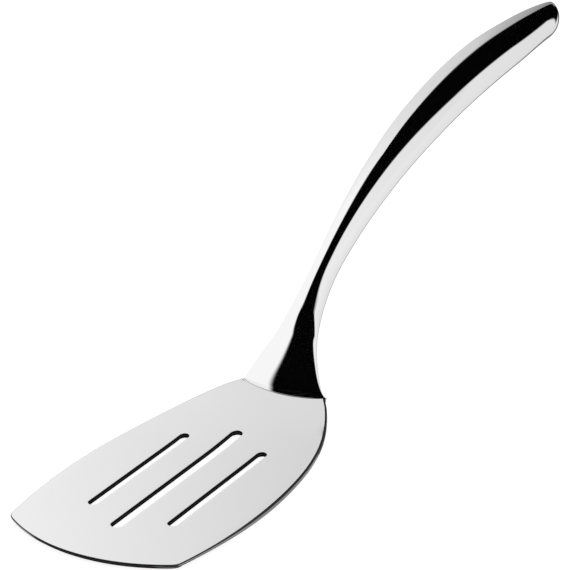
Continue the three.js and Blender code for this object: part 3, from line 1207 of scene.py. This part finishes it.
@dataclass(frozen=True)
class NearCard:
    """A card that stands close to the blade with its top edge sloping down, dimmer towards its right end.

    The points of its edge are places along the card and heights, and the slope is one curve.
    """

    middle: tuple[float, float] = (-215.0, 200.0)
    along: tuple[float, float] = (0.83, 0.56)
    low: float = -80.0
    right_end: tuple[tuple[float, float], ...] = ((240.0, 140.0), (178.0, 152.0))
    slope: tuple[tuple[float, float], ...] = ((158.0, 154.0), (105.0, 190.0), (30.0, 275.0), (-15.0, 345.0))
    left_end: tuple[tuple[float, float], ...] = ((-60.0, 365.0), (-220.0, 390.0))
    slope_steps: int = 24
    dims: tuple[float, float] = (-110.0, 150.0)
    bright: tuple[float, float] = (1.0, 0.62)
    drops: tuple[float, float] = (120.0, 185.0)
    dimmest: float = 0.45

    def build(self) -> bpy.types.Object:
        """Builds the card, seen only by the steel.

        Returns:
            The card's object.
        """
        x, y = self.middle
        feet = [(self.left_end[-1][0], self.low), (self.right_end[0][0], self.low)]
        slope = bezier(self.slope, self.slope_steps)
        edge = np.concatenate([feet, self.right_end, slope, self.left_end])
        corners = [(x + self.along[0] * s, y + self.along[1] * s, z) for s, z in edge]
        mesh = bpy.data.meshes.new("near_card")
        mesh.from_pydata((np.array(corners) * MM).tolist(), [], [tuple(range(len(corners)))])
        made = linked("near_card", mesh)
        white = bpy.data.materials.new("White card")
        wire = Wiring.fresh(white)
        where = wire.add("ShaderNodeTexCoord").outputs["Object"]
        place_on = wire.dot(where, (*self.along, 0.0))
        base = self.along[0] * x + self.along[1] * y
        ends = [(base + s) * MM for s in (*self.dims, *self.drops)]
        light = wire.out("ShaderNodeMapRange", place_on, *ends[:2], *self.bright)
        shade = wire.out("ShaderNodeMapRange", place_on, *ends[2:], 1.0, self.dimmest)
        glow = wire.add("ShaderNodeEmission", WHITE, wire.maths("MULTIPLY", light, shade))
        wire.add("ShaderNodeOutputMaterial", glow.outputs[0])
        mesh.materials.append(white)
        made.visible_camera = False
        made.visible_diffuse = False
        made.visible_shadow = False
        return made


@dataclass
class Studio:
    """The pale floor, the cards that the steel mirrors, the lamp and the camera."""

    lens: float = 140.844
    place: tuple[float, float, float] = (422.947, -663.863, 366.653)
    right: tuple[float, float, float] = (0.839923, 0.538901, -0.064146)
    up: tuple[float, float, float] = (-0.162998, 0.363237, 0.917328)
    sensor: float = 36.0
    nudge: float = 0.5 / 570.0
    floor_reach: float = 6000.0
    floor_drop: float = 0.4
    floor_grey: float = 0.2
    floor_glow: float = 0.86
    lamp_size: float = 900.0
    lamp_power: float = 3.0
    lamp_place: tuple[float, float, float] = (100.0, 100.0, 1100.0)
    dark: float = 0.0006
    near: NearCard = NearCard()
    cards: tuple[Card, ...] = (
        Card(
            "left",
            1.0,
            (
                Side((-0.717, -0.274, -0.64), -0.11, 0.04),
                Side((0.0, 1.0, 0.0), -0.29, 0.04),
                Side((-0.94, -0.342, 0.0), 0.0, 0.1),
            ),
        ),
        Card(
            "low left",
            1.0,
            (Side((-0.717, -0.274, -0.64), -0.11, 0.04), Side((-0.995, 0.083, 0.048), 0.531, 0.03)),
        ),
        Card("overhead", 0.88, (Side((0.353, 0.281, 0.893), 0.887, 0.015),), (0.0, -0.15, 0.0)),
        Card(
            "right",
            0.9,
            (
                Side((0.954, -0.118, 0.274), 0.119, 0.03),
                Side((0.358, 0.934, 0.0), 0.1, 0.05),
                Side((0.0, 0.0, -1.0), -0.85, 0.05),
                Side((0.0, 0.0, 1.0), -0.6, 0.1),
            ),
            (0.0, -0.12, 0.0),
        ),
        Card(
            "behind",
            0.76,
            (
                Side((1.0, 0.0, 0.0), 0.02, 0.06),
                Side((0.0, 1.0, 0.0), 0.7, 0.06),
                Side((0.0, 0.0, -1.0), 0.0, 0.06),
            ),
        ),
        Card("far behind", 0.1, (Side((0.0, 1.0, 0.0), 0.7, 0.06), Side((0.0, 0.0, -1.0), 0.1, 0.1))),
    )

    def floor(self) -> bpy.types.Object:
        """Lays the floor: white to the camera, with the object's soft shadow.

        Returns:
            The floor's object.
        """
        mesh = bpy.data.meshes.new("floor")
        reach = self.floor_reach * MM
        corners = [(-reach, -reach, 0), (reach, -reach, 0), (reach, reach, 0), (-reach, reach, 0)]
        mesh.from_pydata(corners, [], [(0, 1, 2, 3)])
        made = linked("floor", mesh)
        made.location.z = -self.floor_drop * MM
        pale = bpy.data.materials.new("Pale floor")
        wire = Wiring.fresh(pale)
        matt = wire.add("ShaderNodeBsdfDiffuse", (*[self.floor_grey] * 3, 1.0)).outputs[0]
        glow = wire.add("ShaderNodeEmission", WHITE, self.floor_glow).outputs[0]
        both = wire.add("ShaderNodeAddShader", matt, glow).outputs[0]
        wire.add("ShaderNodeOutputMaterial", both)
        mesh.materials.append(pale)
        made.visible_glossy = False
        return made

    def world(self) -> None:
        """Hangs the cards round the object: the steel mirrors them, and the camera sees plain white."""
        world = bpy.data.worlds.new("Studio")
        bpy.context.scene.world = world
        wire = Wiring.fresh(world)
        ray = wire.add("ShaderNodeLightPath").outputs
        toward = wire.add("ShaderNodeTexCoord").outputs["Generated"]
        shown = None
        for card in self.cards:
            mask = None
            for side in card.sides:
                ends = (side.offset - side.softness, side.offset + side.softness)
                lean = wire.dot(toward, side.facing)
                soft = wire.out("ShaderNodeMapRange", lean, *ends, 0.0, 1.0, interpolation_type="SMOOTHSTEP")
                mask = soft if mask is None else wire.maths("MULTIPLY", mask, soft)
            level = wire.maths("ADD", wire.dot(toward, card.lean), card.light)
            light = wire.maths("MULTIPLY", mask, level)
            light.node.label = card.name
            shown = light if shown is None else wire.maths("MAXIMUM", shown, light)
        mirrored = wire.maths("MAXIMUM", shown, self.dark)
        steel = wire.add("ShaderNodeBackground", mirrored, 1.0).outputs[0]
        plain = wire.add("ShaderNodeBackground", WHITE, 1.0).outputs[0]
        both = wire.add("ShaderNodeMixShader", ray["Is Glossy Ray"], plain, steel).outputs[0]
        wire.add("ShaderNodeOutputWorld", both)

    def lamp(self) -> None:
        """Hangs one large soft lamp over the object for the floor's shadow."""
        light = bpy.data.lights.new("Overhead", "AREA")
        light.shape = "DISK"
        light.size = self.lamp_size * MM
        light.energy = self.lamp_power
        made = linked("Overhead", light)
        made.location = Vector(self.lamp_place) * MM
        made.visible_glossy = False

    def camera(self) -> None:
        """Sets the camera where the photograph was taken from."""
        lens = bpy.data.cameras.new("Camera")
        lens.sensor_width = self.sensor
        lens.lens = self.lens
        lens.shift_x = -self.nudge
        lens.shift_y = self.nudge
        made = linked("Camera", lens)
        right, up = Vector(self.right).normalized(), Vector(self.up).normalized()
        back = right.cross(up)
        turn = Matrix((right, up, back)).transposed().to_4x4()
        made.matrix_world = Matrix.Translation(Vector(self.place) * MM) @ turn
        bpy.context.scene.camera = made

    def build(self) -> None:
        """Builds the studio."""
        self.camera()
        self.floor()
        self.near.build()
        self.world()
        self.lamp()
        bpy.context.scene.view_settings.view_transform = "Standard"


def main() -> None:
    """Builds the turner piece by piece."""
    marks = BuffingMarks()
    # The sheet's finish scales its colour by the blade's painted reflection and shade.
    sheet = PolishedSteel("Polished sheet", tint=(0.845, 0.845, 0.847), painted_reflection="painted_reflection").make(marks)
    tube = PolishedSteel("Polished handle").make(marks)
    ground = PolishedSteel("Ground weld", sharpest=0.08, dullest=0.16, hairlines=1600.0).make(marks)
    Studio().build()
    blade = Blade()
    place(blade.build(sheet), Finish.SHEET, "blade")
    handle = Handle()
    shells = ("handle_upper_shell", "handle_lower_shell", "seam_weld_left", "seam_weld_right")
    place(handle.build(blade, tube), Finish.HANDLE, *shells)
    for node, bead in FootWeld().build(handle, blade, ground).items():
        place(bead, Finish.WELD, node)


if __name__ == "__main__":
    main()
